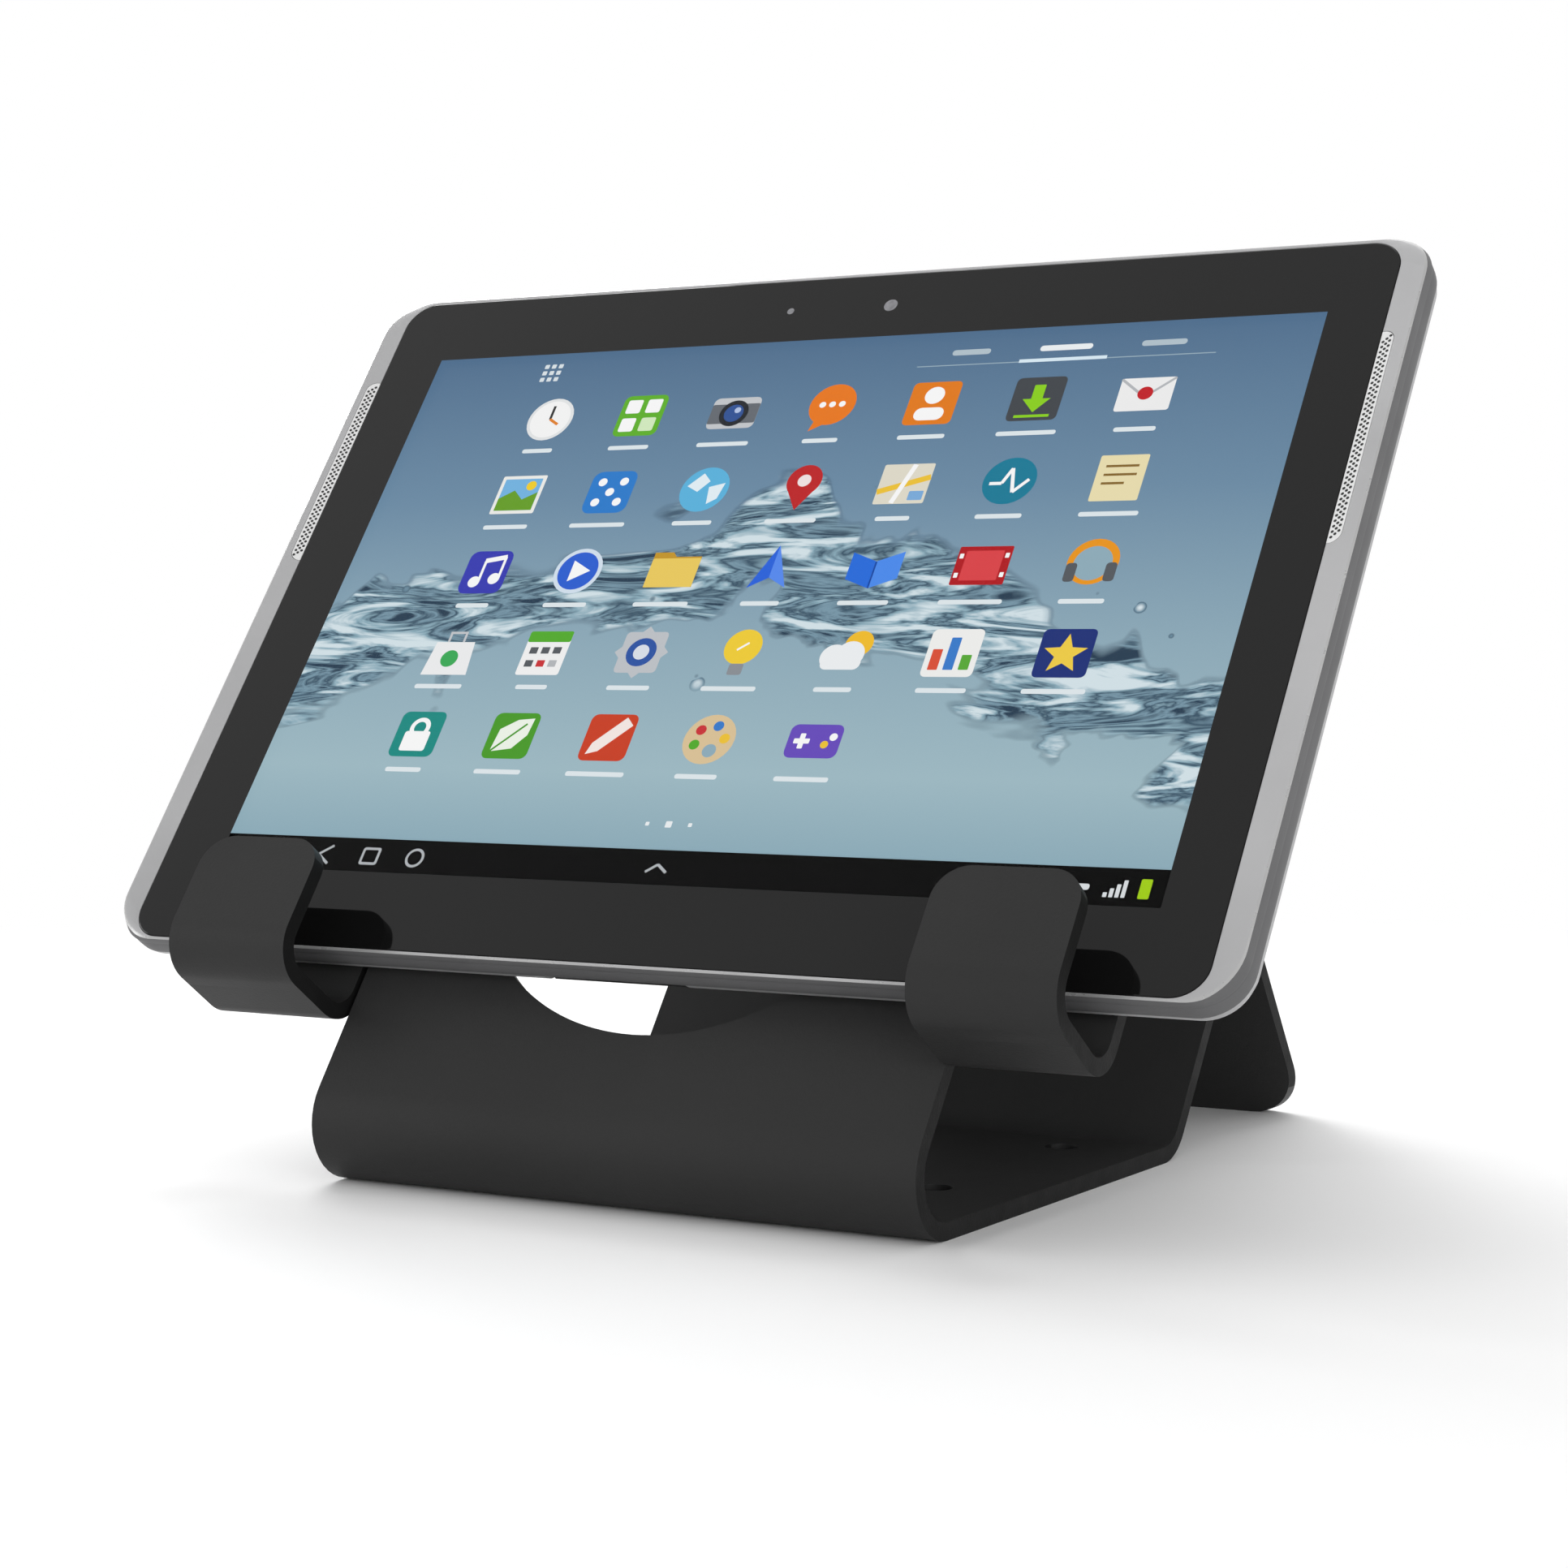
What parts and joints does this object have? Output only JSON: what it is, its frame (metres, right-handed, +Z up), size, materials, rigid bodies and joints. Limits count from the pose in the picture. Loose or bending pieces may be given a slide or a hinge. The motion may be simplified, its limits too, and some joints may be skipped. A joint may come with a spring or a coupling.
{
  "type": "tablet security kiosk stand",
  "caption": "Bent sheet metal counter stand that holds a tablet leaning back behind curled hooks, with a glued security plate and lock tab behind it.",
  "frame": {"origin": "centre of the four counter fixing holes, on the underside of the base", "axes": "+X to the right along the long side of the tablet, +Y to the back of the stand, +Z up"},
  "size_m": [0.257, 0.2014, 0.1896],
  "materials": {
    "black_powder_coat": "matte black powder coat with a fine grain",
    "weld_metal": "weld beads under the same powder coat",
    "silver_shell": "satin silver",
    "dark_band": "satin grey",
    "front_glass": "black bordered glass over the screen",
    "screen": "lit screen with a plain picture in blue tones",
    "grille_metal": "light perforated metal",
    "speaker_box": "black moulded plastic",
    "socket_black": "black plastic",
    "lens_black": "dark polished",
    "flash_lens": "pale yellow lens",
    "battery_foil": "grey foil pouch",
    "board_green": "green circuit board with metal shields",
    "key_silver": "satin silver",
    "adhesive_foam": "white foam tape",
    "zinc_plate": "zinc plated steel"
  },
  "bodies": {
    "stand": {"stand_frame": "black_powder_coat", "seam_welds": "weld_metal"},
    "tablet": {"back_cover": "silver_shell", "mid_frame": "dark_band", "front_rim": "silver_shell", "cover_glass": "front_glass", "display_panel": "screen", "speaker_grille_left": "grille_metal", "speaker_grille_right": "grille_metal", "speaker_left": "speaker_box", "speaker_right": "speaker_box", "dock_connector": "socket_black", "front_camera": "lens_black", "light_sensor": "lens_black", "rear_camera": "key_silver", "rear_camera_window": "lens_black", "flash_window": "flash_lens", "battery": "battery_foil", "main_board": "board_green", "headphone_jack": "socket_black", "card_cover": "dark_band", "adhesive_pad": "adhesive_foam", "security_plate": "zinc_plate"},
    "power_key": {"power_button": "key_silver"},
    "volume_key": {"volume_rocker": "key_silver"}
  },
  "joints": [
    {"name": "tablet_slide", "type": "slide", "parent": "stand", "child": "tablet", "axis": [0, 0.5841, 0.8117], "range_m": [0, 0.02]},
    {"name": "power_press", "type": "slide", "parent": "tablet", "child": "power_key", "axis": [0, -0.5841, -0.8117], "range_m": [0, 0.0004], "stiffness_N_per_m": 400, "springref_m": -0.0002},
    {"name": "volume_rock", "type": "hinge", "parent": "tablet", "child": "volume_key", "pos_m": [-0.0823, 0.04223, 0.1833], "axis": [0, -0.8117, 0.5841], "range_deg": [-1.5, 1.5], "stiffness_Nm_per_rad": 0.03}
  ]
}
